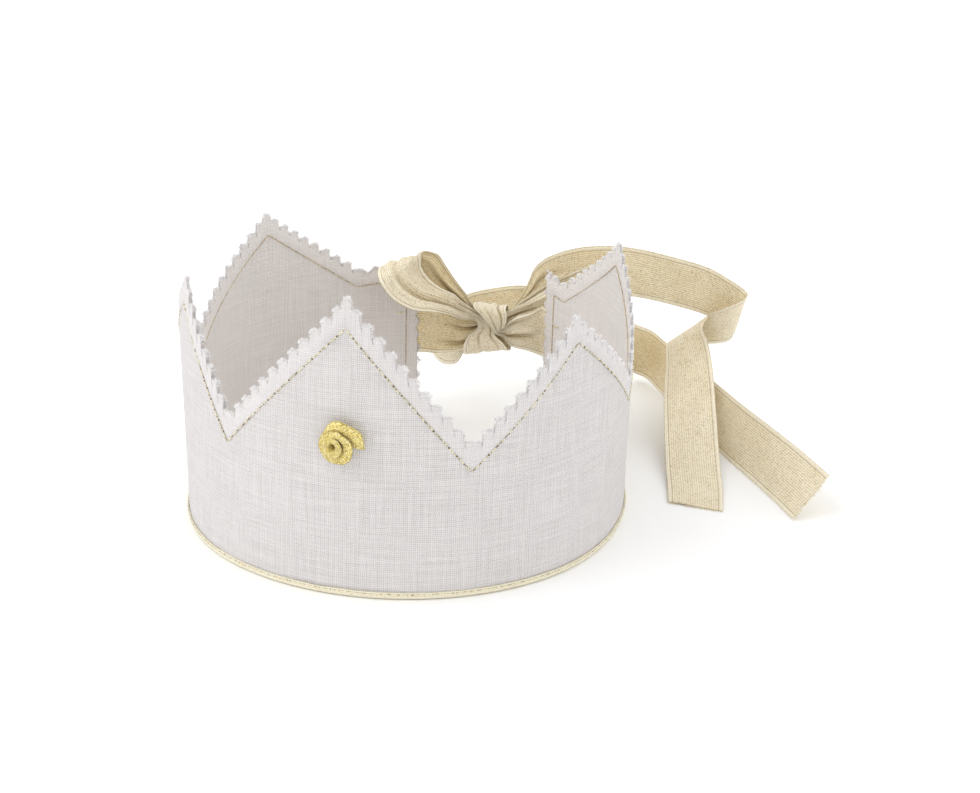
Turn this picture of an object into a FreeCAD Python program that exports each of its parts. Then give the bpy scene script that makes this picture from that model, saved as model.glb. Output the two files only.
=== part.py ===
import FreeCAD, Part
import math
import os
from FreeCAD import Vector

# Sewn linen crown with five pinked points, a bound lower edge, a rolled ribbon rose
# and two ribbons tied in a bow across the open back. Millimetres, +Z up, front towards -Y.
# The origin lies on the table, 80 mm behind the front of the lower edge.

doc = FreeCAD.newDocument("fabric_crown")
sheet = doc.addObject("Spreadsheet::Sheet", "Dimensions")

SIZES = [
    # layers of the wall
    ("linen_thickness", 0.5),
    ("lining_thickness", 0.5),
    ("interlining_thickness", 0.5),
    ("layer_clearance", 0.1),
    # plan of the wall: reach of its front and the radius at seven places along it
    ("front_reach", 80.0),
    ("radius_spacing", 80.0),
    ("left_back_radius", 82.0),
    ("left_side_radius", 79.5),
    ("left_front_radius", 85.5),
    ("front_radius", 73.0),
    ("right_front_radius", 78.0),
    ("right_side_radius", 107.0),
    ("right_back_radius", 100.5),
    ("left_length", 234.5),
    ("right_length", 221.0),
    # outline of the points, measured along the cloth from the front
    ("centre_point_height", 100.0),
    ("front_valley_place", 39.8),
    ("front_valley_height", 52.6),
    ("side_point_place", 77.6),
    ("side_point_height", 88.3),
    ("side_valley_place", 124.5),
    ("side_valley_height", 52.6),
    ("back_point_place", 171.3),
    ("back_point_height", 86.4),
    ("left_corner_width", 23.5),
    ("right_corner_width", 10.0),
    ("end_valley_height", 59.7),
    ("end_corner_height", 62.3),
    # the left front point is a little wider and taller, as cut by hand
    ("left_valley_shift", 5.7),
    ("left_point_shift", 1.8),
    ("left_point_rise", 1.6),
    # pinked edge
    ("tooth_pitch", 5.4),
    ("tooth_depth", 2.2),
    ("tip_cut_lean", 0.15),
    # seams
    ("seam_inset", 6.4),
    ("end_seam_inset", 5.5),
    ("thread_width", 0.5),
    ("thread_height", 0.3),
    ("thread_clearance", 0.04),
    ("tack_length", 3.0),
    ("tack_height", 42.0),
    # interlining
    ("interlining_inset", 8.0),
    ("interlining_end_inset", 14.0),
    # bound lower edge
    ("binding_height", 2.5),
    ("binding_thickness", 0.4),
    ("binding_seam_drop", 0.5),
    # ribbons
    ("ribbon_width", 20.0),
    ("ribbon_thickness", 0.45),
    ("left_ribbon_height", 35.5),
    ("right_ribbon_height", 37.6),
    ("ribbon_tuck", 10.0),
    ("knot_height", 42.5),
    ("knot_forward", 3.1),
    ("knot_right", 3.7),
    # rose
    ("rose_place", -3.5),
    ("rose_height", 53.0),
    ("rose_ribbon_width", 5.8),
    ("rose_inner_radius", 0.8),
    ("rose_outer_radius", 4.3),
    ("rose_turns", 2.6),
    ("rose_end_angle", 12.0),
    ("rose_stretch", 1.12),
    ("rose_flare", 1.7),
    ("rose_petal_reach", 2.8),
]

for row, (alias, value) in enumerate(SIZES, start=1):
    sheet.set("A%d" % row, alias)
    sheet.set("B%d" % row, str(value))
    sheet.setAlias("B%d" % row, alias)
doc.recompute()


def size(alias):
    return float(sheet.get(alias))


LINEN = size("linen_thickness")
LINING = size("lining_thickness")
INTERLINING = size("interlining_thickness")
CLEARANCE = size("layer_clearance")
# The interlining is centred on the wall, with the linen outside it and the lining inside.
LINEN_FACE = INTERLINING / 2 + CLEARANCE + LINEN
LINING_FACE = -(INTERLINING / 2 + CLEARANCE + LINING)
WALL_BOTTOM = size("binding_thickness") + CLEARANCE
RIBBON_WIDTH = size("ribbon_width")
RIBBON_THICKNESS = size("ribbon_thickness")


# Plan of the wall

RADII = [
    size("left_back_radius"),
    size("left_side_radius"),
    size("left_front_radius"),
    size("front_radius"),
    size("right_front_radius"),
    size("right_side_radius"),
    size("right_back_radius"),
]


def curvature(place):
    """Curvature at a place along the cloth, measured from the front, positive to the right."""
    spacing = size("radius_spacing")
    position = min(max(place / spacing + 3, 0.0), len(RADII) - 1.0)
    first = min(int(position), len(RADII) - 2)
    share = position - first
    return (1 - share) / RADII[first] + share / RADII[first + 1]


def walk_plan(reach, step=1.0):
    """Points of the wall's plan at every step along the cloth, from the front to one side."""
    side = 1 if reach > 0 else -1
    x, y, heading = 0.0, -size("front_reach"), 0.0
    points = [(x, y, heading)]
    for i in range(int(abs(reach) / step) + 2):
        middle = heading + side * step / 2 * curvature(side * (i + 0.25) * step)
        x += side * step * math.cos(middle)
        y += side * step * math.sin(middle)
        heading += side * step * curvature(side * (i + 0.5) * step)
        points.append((x, y, heading))
    return points


RIGHT_PLAN = walk_plan(size("right_length") + 20)
LEFT_PLAN = walk_plan(-size("left_length") - 20)


def plan_point(place, outward=0.0):
    """Plan position at a place along the cloth, moved outward from the middle of the wall."""
    points = RIGHT_PLAN if place >= 0 else LEFT_PLAN
    first = min(int(abs(place)), len(points) - 2)
    share = abs(place) - first
    x, y, heading = [(1 - share) * a + share * b for a, b in zip(points[first], points[first + 1])]
    return Vector(x + outward * math.sin(heading), y - outward * math.cos(heading), 0)


def outward_direction(place):
    return (plan_point(place, 1) - plan_point(place)).normalize()


LEFT_END = -size("left_length")
RIGHT_END = size("right_length")


# Outline of the points

def outline_corners():
    """Corners of the upper outline as (place, height), from the left end to the right end."""
    side_valley = (size("side_valley_place"), size("side_valley_height"))
    back_point = (size("back_point_place"), size("back_point_height"))
    end_valley_height = size("end_valley_height")
    corner_height = size("end_corner_height")
    return [
        (LEFT_END, corner_height),
        (LEFT_END + size("left_corner_width"), end_valley_height),
        (-back_point[0], back_point[1]),
        (-side_valley[0], side_valley[1]),
        (
            -size("side_point_place") + size("left_point_shift"),
            size("side_point_height") + size("left_point_rise"),
        ),
        (-size("front_valley_place") - size("left_valley_shift"), size("front_valley_height")),
        (0.0, size("centre_point_height")),
        (size("front_valley_place"), size("front_valley_height")),
        (size("side_point_place"), size("side_point_height")),
        side_valley,
        back_point,
        (RIGHT_END - size("right_corner_width"), end_valley_height),
        (RIGHT_END, corner_height),
    ]


def height_at(line, place):
    """Height of a line of (place, height) corners at a place."""
    for (a_place, a_height), (b_place, b_height) in zip(line, line[1:]):
        if a_place <= place <= b_place:
            share = (place - a_place) / (b_place - a_place)
            return a_height + share * (b_height - a_height)
    return line[0][1] if place < line[0][0] else line[-1][1]


def inset_line(corners, inset, start, end):
    """The outline moved inward by a distance square to each slope, cut at two places."""
    lines = []
    for (a_place, a_height), (b_place, b_height) in zip(corners, corners[1:]):
        slope = (b_height - a_height) / (b_place - a_place)
        lines.append((slope, a_height - slope * a_place - inset * math.hypot(1, slope)))
    result = [(start, lines[0][0] * start + lines[0][1])]
    for (a_slope, a_rise), (b_slope, b_rise) in zip(lines, lines[1:]):
        place = (b_rise - a_rise) / (a_slope - b_slope)
        if start < place < end:
            result.append((place, a_slope * place + a_rise))
    result.append((end, lines[-1][0] * end + lines[-1][1]))
    return result


def pinked_line(corners):
    """The outline as pinking shears leave it: teeth of one pitch along every slope."""
    pitch = size("tooth_pitch")
    depth = size("tooth_depth")
    result = [corners[0]]
    for (a_place, a_height), (b_place, b_height) in zip(corners, corners[1:]):
        run = b_place - a_place
        rise = b_height - a_height
        length = math.hypot(run, rise)
        teeth = max(1, round(length / pitch))
        half_tooth = run / teeth / 2
        # On steep slopes the cuts lean less, so that no tooth hangs over the next.
        lean = depth * rise / length
        lean = lean / (1 + abs(lean / half_tooth) ** 6) ** (1 / 6)
        # The cuts beside a point lean least, which leaves its tip tooth broad.
        beside_point = teeth - 1 if rise > 0 else 0
        for tooth in range(teeth):
            share = (tooth + 0.5) / teeth
            shift = lean * size("tip_cut_lean") if tooth == beside_point else lean
            result.append((
                a_place + run * share + shift,
                a_height + rise * share - depth * run / length,
            ))
            share = (tooth + 1) / teeth
            result.append((a_place + run * share, a_height + rise * share))
    return result


# Solids that follow the wall

FACET = 3.0
VERTEX_MARGIN = 0.25


def facet_places(start, end, lines):
    """Places where flat facets meet, none of them close to a corner of the given lines."""
    corners = [place for line in lines for place, height in line]
    count = max(1, round((end - start) / FACET))
    places = [start]
    for i in range(1, count):
        wanted = start + (end - start) * i / count
        for shift in (0, 0.3, -0.3, 0.6, -0.6, 0.9, -0.9):
            if all(abs(wanted + shift - corner) > VERTEX_MARGIN for corner in corners):
                places.append(wanted + shift)
                break
    places.append(end)
    return places


def between(line, start, end):
    return [(place, height) for place, height in line if start + 1e-6 < place < end - 1e-6]


def closed_solid(faces):
    shell = Part.Shell(faces)
    shell.sewShape()
    solid = Part.Solid(shell)
    if solid.Volume < 0:
        solid.reverse()
    return solid


def wall_sheet(upper, lower, inner, outer):
    """Cloth cut between two lines of (place, height) and bent to the plan of the wall."""
    start = upper[0][0]
    end = upper[-1][0]
    places = facet_places(start, end, [upper, lower])
    faces = []

    def corner(left, right, place, height, outward):
        share = (place - left) / (right - left)
        flat = plan_point(left, outward) * (1 - share) + plan_point(right, outward) * share
        return Vector(flat.x, flat.y, height)

    for left, right in zip(places, places[1:]):
        top = [(left, height_at(upper, left))] + between(upper, left, right)
        top += [(right, height_at(upper, right))]
        bottom = [(left, height_at(lower, left))] + between(lower, left, right)
        bottom += [(right, height_at(lower, right))]
        ring = bottom + top[::-1]
        for outward in (inner, outer):
            points = [corner(left, right, place, height, outward) for place, height in ring]
            faces.append(Part.Face(Part.makePolygon(points + points[:1])))
        for chain in (top, bottom):
            for a, b in zip(chain, chain[1:]):
                corners = [corner(left, right, a[0], a[1], inner), corner(left, right, b[0], b[1], inner)]
                corners += [corner(left, right, b[0], b[1], outer), corner(left, right, a[0], a[1], outer)]
                faces.append(triangle(corners[0], corners[1], corners[2]))
                faces.append(triangle(corners[0], corners[2], corners[3]))
    for place in (start, end):
        foot_inner = plan_point(place, inner)
        foot_outer = plan_point(place, outer)
        low = Vector(0, 0, height_at(lower, place))
        high = Vector(0, 0, height_at(upper, place))
        points = [foot_inner + low, foot_outer + low, foot_outer + high, foot_inner + high]
        faces.append(Part.Face(Part.makePolygon(points + points[:1])))
    return closed_solid(faces)


def triangle(a, b, c):
    return Part.Face(Part.makePolygon([a, b, c, a]))


def wall_moulding(profile, start, end):
    """A closed profile of (outward, height) points carried along the wall."""
    places = facet_places(start, end, [])
    rings = []
    for place in places:
        rings.append([
            plan_point(place, outward) + Vector(0, 0, height) for outward, height in profile
        ])
    faces = [Part.Face(Part.makePolygon(ring + ring[:1])) for ring in (rings[0], rings[-1])]
    for ring, following in zip(rings, rings[1:]):
        for i in range(len(profile)):
            j = (i + 1) % len(profile)
            points = [ring[i], ring[j], following[j], following[i], ring[i]]
            faces.append(Part.Face(Part.makePolygon(points)))
    return closed_solid(faces)


# Ribbons

def smooth(rows, steps):
    """Rows of numbers joined by a smooth curve that passes through each of them."""
    result = []
    for i in range(len(rows) - 1):
        before = rows[max(i - 1, 0)]
        a = rows[i]
        b = rows[i + 1]
        after = rows[min(i + 2, len(rows) - 1)]
        for step in range(steps):
            s = step / steps
            result.append([
                0.5 * (2 * q + (r - p) * s + (2 * p - 5 * q + 4 * r - t) * s * s
                       + (3 * q - p - 3 * r + t) * s ** 3)
                for p, q, r, t in zip(before, a, b, after)
            ])
    result.append(list(rows[-1]))
    return result


def ribbon_solid(edges, thickness, steps=3):
    """A ribbon through pairs of points on its lower and upper edges, given as six numbers."""
    rows = smooth(edges, steps)
    lower = [Vector(*row[:3]) for row in rows]
    upper = [Vector(*row[3:]) for row in rows]
    middle = [(a + b) * 0.5 for a, b in zip(lower, upper)]
    sections = []
    for i in range(len(rows)):
        travel = middle[min(i + 1, len(rows) - 1)] - middle[max(i - 1, 0)]
        face = travel.cross(upper[i] - lower[i]).normalize() * (thickness / 2)
        ring = [lower[i] - face, upper[i] - face, upper[i] + face, lower[i] + face]
        sections.append(Part.makePolygon(ring + ring[:1]))
    return Part.makeLoft(sections, True, True)


def knot_place():
    """Middle of the knot, set from the two ends of the wall."""
    middle = (plan_point(LEFT_END) + plan_point(RIGHT_END)) * 0.5
    return middle + Vector(size("knot_right"), -size("knot_forward"), size("knot_height"))


KNOT = knot_place()


def base_edges(end, inward, height):
    """The ribbon's sewn end between the linen and the lining, up to the end of the wall."""
    half = RIBBON_WIDTH / 2
    rows = []
    for share in (1.0, 0.66, 0.33, 0.0, -0.2):
        foot = plan_point(end + inward * share * size("ribbon_tuck"))
        low = foot + Vector(0, 0, height - half)
        high = foot + Vector(0, 0, height + half)
        rows.append([*low, *high])
    return rows


def from_knot(rows):
    """Rows of a lower-edge point counted from the knot, a direction across and a width share."""
    result = []
    for x, y, z, across_x, across_y, across_z, share in rows:
        low = KNOT + Vector(x, y, z)
        across = Vector(across_x, across_y, across_z).normalize()
        result.append([*low, *(low + across * RIBBON_WIDTH * share)])
    return result


def on_table(rows):
    """The same, with heights from the table given in ribbon widths: one tail crosses the other."""
    result = []
    for x, y, lift, across_x, across_y, across_z, share in rows:
        low = Vector(KNOT.x + x, KNOT.y + y, lift * RIBBON_WIDTH + RIBBON_THICKNESS)
        across = Vector(across_x, across_y, across_z).normalize()
        result.append([*low, *(low + across * RIBBON_WIDTH * share)])
    return result


LEFT_BASE_TO_KNOT = [
    (-21.5, 1.2, -16.6, 0, 0, 1, 0.95),
    (-16.5, 0.6, -15.6, 0, 0, 1, 0.86),
    (-11.0, -0.4, -13.8, 0, 0, 1, 0.68),
    (-5.6, -1.2, -10.1, 0, 0, 1, 0.50),
    (-1.0, -1.6, -6.6, 0, 0, 1, 0.41),
    (4.2, -1.4, -4.8, 0, 0, 1, 0.38),
]

RIGHT_LOOP = [
    (12.5, 4.8, -2.6, -0.06, 0, 1, 0.42),
    (20.4, 8.6, -4.9, -0.09, 0, 1, 0.76),
    (29.5, 9.6, -4.0, -0.10, 0, 1, 0.95),
    (39.5, 8.0, 1.6, -0.13, 0, 1, 0.98),
    (46.3, 6.4, 5.0, -0.14, -0.05, 1, 0.98),
    (48.6, 9.2, 5.2, -0.14, -0.05, 1, 0.98),
    (45.6, 13.0, 3.6, -0.13, -0.05, 1, 0.98),
    (38.0, 16.8, 1.0, -0.12, -0.05, 1, 0.98),
    (28.0, 18.4, -3.8, -0.10, -0.05, 1, 0.95),
    (19.4, 16.0, -5.5, -0.08, -0.05, 1, 0.82),
    (11.8, 9.4, -2.8, -0.04, -0.05, 1, 0.45),
    (6.2, 2.6, -4.2, 0, 0, 1, 0.36),
    (0.5, 0.8, -4.4, 0, 0, 1, 0.36),
    (-5.0, 1.1, -9.4, 0, 0, 1, 0.36),
]

LEFT_RIBBON_TURN = [
    (-10.8, 3.6, -16.0, -0.03, 0.03, 1, 0.54),
    (-14.6, 7.4, -22.2, -0.02, 0.05, 1, 0.82),
    (-20.0, 12.0, -24.8, 0.0, 0.04, 1, 0.92),
    (-24.8, 16.6, -24.6, 0.02, 0.02, 1, 0.98),
    (-27.0, 20.8, -23.4, -0.02, 0.02, 1, 1.0),
    (-23.4, 25.0, -24.8, -0.12, 0.03, 1, 1.0),
    (-16.0, 27.8, -24.6, -0.26, 0.03, 1, 1.0),
    (-8.5, 29.4, -19.6, -0.36, 0, 0.93, 1.0),
    (-0.3, 28.6, -16.5, -0.15, 0, 0.99, 1.0),
    (10.2, 28.8, -15.0, -0.06, 0.02, 1, 1.0),
    (27.5, 37.0, -20.5, -0.08, 0.10, 0.99, 1.0),
    (40.4, 48.6, -29.0, -0.09, 0.20, 0.97, 1.0),
]

LEFT_RIBBON_TAIL = [
    (47.6, 62.0, 0.17, -0.08, 0.30, 0.95, 1.0),
    (54.5, 61.6, 0.05, -0.02, 0.42, 0.90, 1.0),
    (61.0, 51.0, 0.0, 0.05, 0.48, 0.87, 1.0),
    (67.5, 38.6, 0.0, 0.10, 0.48, 0.87, 1.0),
    (75.8, 23.2, 0.0, 0.16, 0.46, 0.87, 1.0),
    (84.5, 7.0, 0.0, 0.24, 0.44, 0.86, 1.0),
    (93.6, -9.8, 0.0, 0.32, 0.42, 0.84, 1.0),
    (102.2, -24.0, 0.0, 0.40, 0.40, 0.82, 1.0),
    (109.0, -35.2, 0.0, 0.45, 0.38, 0.81, 1.0),
    (116.6, -48.2, 0.0, 0.49, 0.36, 0.79, 1.0),
    (123.8, -61.4, 0.0, 0.54, 0.35, 0.77, 1.0),
]

RIGHT_BASE_TO_KNOT = [
    (14.6, 2.4, -12.4, 0, 0, 1, 0.78),
    (10.6, -0.3, -10.8, 0, 0, 1, 0.65),
    (7.8, -2.0, -8.9, 0, 0, 1, 0.46),
    (6.2, -4.0, -5.8, 0.1, 0, 1, 0.22),
]

# The right ribbon goes once round the knot: up the front, over, down the back and under.
KNOT_WRAP = [
    (3.6, -6.2, -3.6, 0.76, 0, 0.65, 0.16),
    (0.9, -6.6, -0.1, 1, 0.06, 0, 0.32),
    (-2.3, -6.2, 3.2, 1, 0.06, 0.04, 0.50),
    (-5.5, -4.6, 5.4, 1, 0.03, 0.02, 0.62),
    (-6.3, -1.4, 5.8, 1, 0, 0, 0.64),
    (-6.6, 2.2, 5.2, 1, 0, 0, 0.64),
    (-6.9, 5.6, 3.2, 1, 0, 0, 0.64),
    (-7.2, 7.0, -1.4, 1, 0, 0, 0.64),
    (-7.6, 6.8, -7.0, 1, 0, 0.05, 0.74),
    (-8.2, 4.2, -12.6, 1, 0, 0.12, 0.80),
    (-8.6, 0.6, -15.0, 1, 0, 0.2, 0.86),
    (-9.3, -3.0, -13.8, 0.98, 0, 0.19, 0.88),
    (-9.2, -4.6, -10.5, 0.98, -0.02, 0.18, 0.80),
    (-7.3, -4.9, -6.3, 0.99, 0, 0.12, 0.54),
    (-4.1, -4.4, -3.0, 0.99, 0.03, 0.08, 0.34),
    (-4.1, -4.2, -0.5, 0.87, 0.10, 0.47, 0.26),
]

LEFT_LOOP = [
    (-5.8, -5.0, 0.4, 0.11, 0.26, 0.95, 0.21),
    (-9.9, -7.6, 1.3, -0.10, 0.42, 0.90, 0.36),
    (-12.9, -12.2, 4.2, -0.09, 0.75, 0.62, 0.47),
    (-17.9, -17.6, 6.9, -0.02, 0.88, 0.47, 0.60),
    (-25.7, -21.0, 8.1, 0.24, 0.79, 0.57, 0.74),
    (-33.2, -22.0, 12.0, 0.50, 0.66, 0.56, 0.84),
    (-38.2, -21.0, 17.6, 0.75, 0.52, 0.42, 0.90),
    (-40.1, -17.0, 20.5, 0.87, 0.31, 0.38, 0.90),
    (-39.2, -13.0, 21.3, 0.92, 0.15, 0.37, 0.88),
    (-35.8, -9.5, 19.0, 0.88, 0.06, 0.47, 0.84),
    (-32.0, -7.5, 16.0, 0.81, 0.07, 0.59, 0.80),
    (-26.5, -5.6, 10.2, 0.66, 0.07, 0.75, 0.73),
    (-20.2, -3.5, 5.6, 0.56, 0.08, 0.83, 0.59),
    (-14.7, -0.2, 2.0, 0.43, 0.11, 0.90, 0.45),
    (-12.2, 1.2, 0.0, 0.36, 0.08, 0.92, 0.40),
    (-9.4, 2.6, -2.4, 0.25, 0.03, 0.95, 0.33),
    (-5.4, 3.4, -4.0, 0.1, 0, 1, 0.30),
    (-1.0, 3.4, -4.0, 0, 0, 1, 0.31),
    (3.0, 3.6, -3.8, 0, 0, 1, 0.31),
]

RIGHT_RIBBON_ARC = [
    (7.4, 4.8, -3.0, -0.05, 0, 1, 0.31),
    (9.6, 10.6, -1.6, -0.10, 0, 1, 0.34),
    (11.9, 17.2, -1.2, -0.15, 0, 1, 0.48),
    (14.4, 21.0, -1.9, -0.25, 0.04, 0.97, 0.66),
    (16.9, 24.0, -0.8, -0.27, 0.04, 0.95, 0.80),
    (20.5, 27.4, 0.4, -0.16, 0, 0.99, 0.92),
    (28.9, 30.0, 2.0, -0.08, 0, 1, 1.0),
    (39.9, 32.4, 3.5, -0.02, -0.03, 1, 1.0),
    (52.1, 35.6, 2.6, -0.01, -0.08, 1, 1.0),
    (65.0, 38.4, 0.0, 0.03, -0.12, 0.99, 1.0),
    (78.2, 39.6, -3.2, 0.0, -0.10, 0.99, 1.0),
    (85.4, 40.2, -7.5, 0.10, -0.10, 0.99, 1.0),
    (88.8, 39.6, -10.2, 0.20, -0.10, 0.97, 1.0),
    (89.9, 36.8, -11.0, 0.26, -0.14, 0.96, 1.0),
    (88.0, 34.6, -11.9, 0.27, -0.22, 0.94, 1.0),
    (84.0, 34.6, -13.0, 0.28, -0.32, 0.91, 1.0),
    (77.5, 37.0, -14.4, 0.36, -0.42, 0.84, 1.0),
    (69.6, 41.4, -15.8, 0.50, -0.50, 0.70, 1.16),
    (65.6, 42.4, -16.6, 0.58, -0.54, 0.60, 1.26),
    (64.2, 40.0, -17.4, 0.62, -0.52, 0.60, 1.22),
    (64.6, 35.0, -19.2, 0.65, -0.42, 0.63, 1.12),
]

RIGHT_RIBBON_TAIL = [
    (65.8, 27.4, 1.00, 0.72, -0.10, 0.62, 1.02),
    (66.8, 17.0, 0.84, 0.84, 0.30, 0.42, 1.0),
    (68.2, 6.0, 0.66, 0.92, 0.28, 0.24, 1.0),
    (70.2, -6.4, 0.46, 0.96, 0.22, 0.12, 1.0),
    (72.4, -19.0, 0.27, 0.97, 0.18, 0.07, 1.0),
    (74.8, -32.6, 0.12, 0.98, 0.12, 0.03, 1.0),
    (77.4, -46.6, 0.03, 0.99, 0.02, 0.01, 1.0),
    (79.2, -58.4, 0.0, 0.99, -0.12, 0.0, 1.0),
]


# Sub-parts

def add_part(label, shape):
    part = doc.addObject("Part::Feature", label)
    part.Label = label
    part.Shape = shape
    return part


CORNERS = outline_corners()
PINKED = pinked_line(CORNERS)
FLOOR_LINE = [(LEFT_END, WALL_BOTTOM), (RIGHT_END, WALL_BOTTOM)]


def make_linen_outer():
    return wall_sheet(PINKED, FLOOR_LINE, LINEN_FACE - LINEN, LINEN_FACE)


def make_lining():
    return wall_sheet(PINKED, FLOOR_LINE, LINING_FACE, LINING_FACE + LINING)


def make_interlining():
    start = LEFT_END + size("interlining_end_inset")
    end = RIGHT_END - size("interlining_end_inset")
    upper = inset_line(CORNERS, size("interlining_inset"), start, end)
    lower = [(start, WALL_BOTTOM), (end, WALL_BOTTOM)]
    return wall_sheet(upper, lower, -INTERLINING / 2, INTERLINING / 2)


def seam_thread(inner, outer):
    """One thread of the seam: up beside one end, along every point and down beside the other."""
    width = size("thread_width")
    start = LEFT_END + size("end_seam_inset")
    end = RIGHT_END - size("end_seam_inset")
    foot = size("binding_height") + CLEARANCE
    bend = 0.05
    upper = inset_line(CORNERS, size("seam_inset") - width / 2, start, end)
    under = inset_line(CORNERS, size("seam_inset") + width / 2, start + width + bend, end - width - bend)
    lower = [(start, foot), (start + width, foot)] + under + [(end - width, foot), (end, foot)]
    return wall_sheet(upper, lower, inner, outer)


def make_needle_thread():
    face = LINEN_FACE + size("thread_clearance")
    return seam_thread(face, face + size("thread_height"))


def make_bobbin_thread():
    face = LINING_FACE - size("thread_clearance")
    return seam_thread(face - size("thread_height"), face)


def binding_faces():
    """Outward places of the binding's two outer faces: inside the crown and outside it."""
    cover = CLEARANCE + size("binding_thickness")
    return LINING_FACE - cover, LINEN_FACE + cover


def make_edge_binding():
    inside, outside = binding_faces()
    thickness = size("binding_thickness")
    top = size("binding_height")
    profile = [
        (inside, 0),
        (outside, 0),
        (outside, top),
        (outside - thickness, top),
        (outside - thickness, thickness),
        (inside + thickness, thickness),
        (inside + thickness, top),
        (inside, top),
    ]
    return wall_moulding(profile, LEFT_END, RIGHT_END)


def binding_thread(inner, outer):
    top = size("binding_height") - size("binding_seam_drop")
    bottom = top - size("thread_width") / 2
    profile = [(inner, bottom), (outer, bottom), (outer, top), (inner, top)]
    return wall_moulding(profile, LEFT_END + CLEARANCE, RIGHT_END - CLEARANCE)


def make_binding_needle_thread():
    face = binding_faces()[1] + size("thread_clearance")
    return binding_thread(face, face + size("thread_height") / 2)


def make_binding_bobbin_thread():
    face = binding_faces()[0] - size("thread_clearance")
    return binding_thread(face - size("thread_height") / 2, face)


def make_ribbon_left():
    rows = base_edges(LEFT_END, 1, size("left_ribbon_height"))
    rows += from_knot(LEFT_BASE_TO_KNOT + RIGHT_LOOP + LEFT_RIBBON_TURN)
    rows += on_table(LEFT_RIBBON_TAIL)
    return ribbon_solid(rows, RIBBON_THICKNESS)


def make_ribbon_right():
    rows = base_edges(RIGHT_END, -1, size("right_ribbon_height"))
    rows += from_knot(RIGHT_BASE_TO_KNOT + KNOT_WRAP + LEFT_LOOP + RIGHT_RIBBON_ARC)
    rows += on_table(RIGHT_RIBBON_TAIL)
    return ribbon_solid(rows, RIBBON_THICKNESS)


def rose_frame():
    """Seat of the rose on the linen, with its outward, sideways and upward directions."""
    place = size("rose_place")
    seat = plan_point(place, LINEN_FACE + CLEARANCE) + Vector(0, 0, size("rose_height"))
    outward = outward_direction(place)
    return seat, outward, Vector(0, 0, 1).cross(outward), Vector(0, 0, 1)


def make_ribbon_rose():
    """A ribbon rolled into a spiral and sewn on its edge, its last half turn let out as a petal."""
    seat, outward, sideways, upward = rose_frame()
    steps_around = 16
    petal_start = 0.8
    count = round(size("rose_turns") * steps_around)
    rows = []
    for i in range(count + 1):
        share = i / count
        angle = math.radians(size("rose_end_angle") + (1 - share) * size("rose_turns") * 360)
        radius = size("rose_inner_radius")
        radius += share * (size("rose_outer_radius") - size("rose_inner_radius"))
        petal = max(0.0, (share - petal_start) / (1 - petal_start)) * size("rose_petal_reach")
        foot_ring = radius + petal / 2
        lip_ring = radius + size("rose_flare") * share + petal
        ray = sideways * math.cos(angle) + upward * math.sin(angle) * size("rose_stretch")
        low = seat + ray * foot_ring
        high = seat + ray * lip_ring + outward * size("rose_ribbon_width") * (1 - share / 4)
        rows.append([*low, *high])
    return ribbon_solid(rows, RIBBON_THICKNESS, 1)


def wall_tack(place, height):
    """A short bar of thread lying level on the lining."""
    half = size("tack_length") / 2
    width = size("thread_width")
    outer = LINING_FACE - size("thread_clearance")
    upper = [(place - half, height + width / 2), (place + half, height + width / 2)]
    lower = [(place - half, height - width / 2), (place + half, height - width / 2)]
    return wall_sheet(upper, lower, outer - size("thread_height"), outer)


def end_tack(end, inward):
    seam = end + inward * size("end_seam_inset")
    place = seam + inward * (size("thread_width") + CLEARANCE + size("tack_length") / 2)
    return wall_tack(place, size("tack_height"))


def make_tack_left():
    return end_tack(LEFT_END, 1)


def make_tack_right():
    return end_tack(RIGHT_END, -1)


def make_rose_tack():
    return wall_tack(size("rose_place"), size("rose_height"))


PARTS = [
    ("linen_outer", make_linen_outer),
    ("interlining", make_interlining),
    ("lining", make_lining),
    ("edge_binding", make_edge_binding),
    ("seam_needle_thread", make_needle_thread),
    ("seam_bobbin_thread", make_bobbin_thread),
    ("binding_needle_thread", make_binding_needle_thread),
    ("binding_bobbin_thread", make_binding_bobbin_thread),
    ("ribbon_left", make_ribbon_left),
    ("ribbon_right", make_ribbon_right),
    ("ribbon_rose", make_ribbon_rose),
    ("rose_tack_thread", make_rose_tack),
    ("left_tack_thread", make_tack_left),
    ("right_tack_thread", make_tack_right),
]

parts = [add_part(label, make()) for label, make in PARTS]
doc.recompute()

for item in doc.Objects:
    if "Invalid" in item.State or "Error" in item.State:
        raise RuntimeError(item.Label + " failed")
for part in parts:
    if part.Shape.isNull() or not part.Shape.isValid():
        raise RuntimeError(part.Label + " has no valid shape")

os.makedirs("parts", exist_ok=True)
for part in parts:
    part.Shape.exportStep("parts/%s.step" % part.Label)
    print(part.Label, len(part.Shape.Solids), round(part.Shape.Volume, 1), part.Shape.BoundBox)
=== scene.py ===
import math
import random

import bpy
import numpy as np
from mathutils import Matrix, Vector


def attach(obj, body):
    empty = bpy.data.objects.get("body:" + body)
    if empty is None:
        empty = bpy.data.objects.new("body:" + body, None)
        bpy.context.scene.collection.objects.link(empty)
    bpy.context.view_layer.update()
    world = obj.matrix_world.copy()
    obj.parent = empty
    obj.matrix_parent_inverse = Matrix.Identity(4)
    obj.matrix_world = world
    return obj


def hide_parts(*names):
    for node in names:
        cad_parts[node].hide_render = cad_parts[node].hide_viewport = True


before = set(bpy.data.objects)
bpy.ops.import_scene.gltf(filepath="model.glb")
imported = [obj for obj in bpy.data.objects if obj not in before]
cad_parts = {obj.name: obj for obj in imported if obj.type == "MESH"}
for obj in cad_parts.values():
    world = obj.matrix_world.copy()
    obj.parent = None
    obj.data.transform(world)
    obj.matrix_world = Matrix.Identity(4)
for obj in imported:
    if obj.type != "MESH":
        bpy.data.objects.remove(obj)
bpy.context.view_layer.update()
MM = 0.001

# Plan and outline of the wall, in millimetres along the cloth, as in the part

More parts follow.
